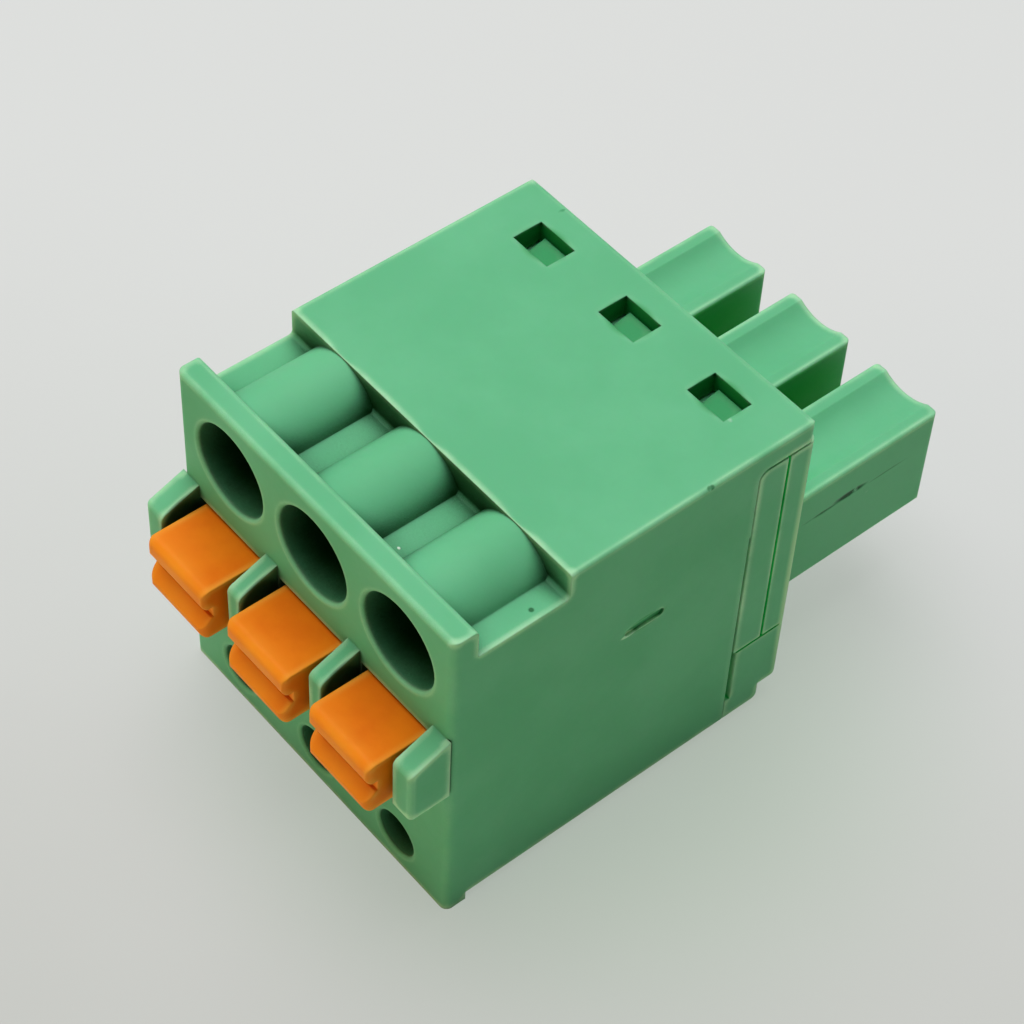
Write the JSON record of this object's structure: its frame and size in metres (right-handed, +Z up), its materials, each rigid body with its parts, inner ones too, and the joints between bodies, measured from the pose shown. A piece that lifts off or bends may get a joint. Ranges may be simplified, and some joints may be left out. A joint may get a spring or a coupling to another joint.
{
  "type": "pluggable terminal block",
  "caption": "Plug-in wire terminal block with push-in spring clamps, release buttons, test openings and plug fingers with pin sockets.",
  "frame": {"origin": "middle of the part's overall length and width, at the underside of the foot ridge", "axes": "+Y towards the plug fingers and away from the wire entries, +X across the poles, +Z up"},
  "size_m": [0.0124, 0.022, 0.0127],
  "materials": {
    "housing_plastic": "satin moulded polyamide",
    "carrier_plastic": "satin moulded polyamide",
    "button_plastic": "satin moulded polyamide",
    "contact_metal": "tin plated",
    "spring_steel": "rolled strip"
  },
  "bodies": {
    "housing": {"housing": "housing_plastic", "contact_carrier": "carrier_plastic", "contact_1": "contact_metal", "contact_2": "contact_metal", "contact_3": "contact_metal", "clamp_spring_1": "spring_steel", "clamp_spring_2": "spring_steel", "clamp_spring_3": "spring_steel"},
    "button_1": {"button_1": "button_plastic"},
    "button_2": {"button_2": "button_plastic"},
    "button_3": {"button_3": "button_plastic"}
  },
  "joints": [
    {"name": "button_1_press", "type": "slide", "parent": "housing", "child": "button_1", "axis": [0, 1, 0], "range_m": [0, 0.0009], "stiffness_N_per_m": 500, "springref_m": -0.0005, "deforming": ["clamp_spring_1"]},
    {"name": "button_2_press", "type": "slide", "parent": "housing", "child": "button_2", "axis": [0, 1, 0], "range_m": [0, 0.0009], "stiffness_N_per_m": 500, "springref_m": -0.0005, "deforming": ["clamp_spring_2"]},
    {"name": "button_3_press", "type": "slide", "parent": "housing", "child": "button_3", "axis": [0, 1, 0], "range_m": [0, 0.0009], "stiffness_N_per_m": 500, "springref_m": -0.0005, "deforming": ["clamp_spring_3"]}
  ]
}
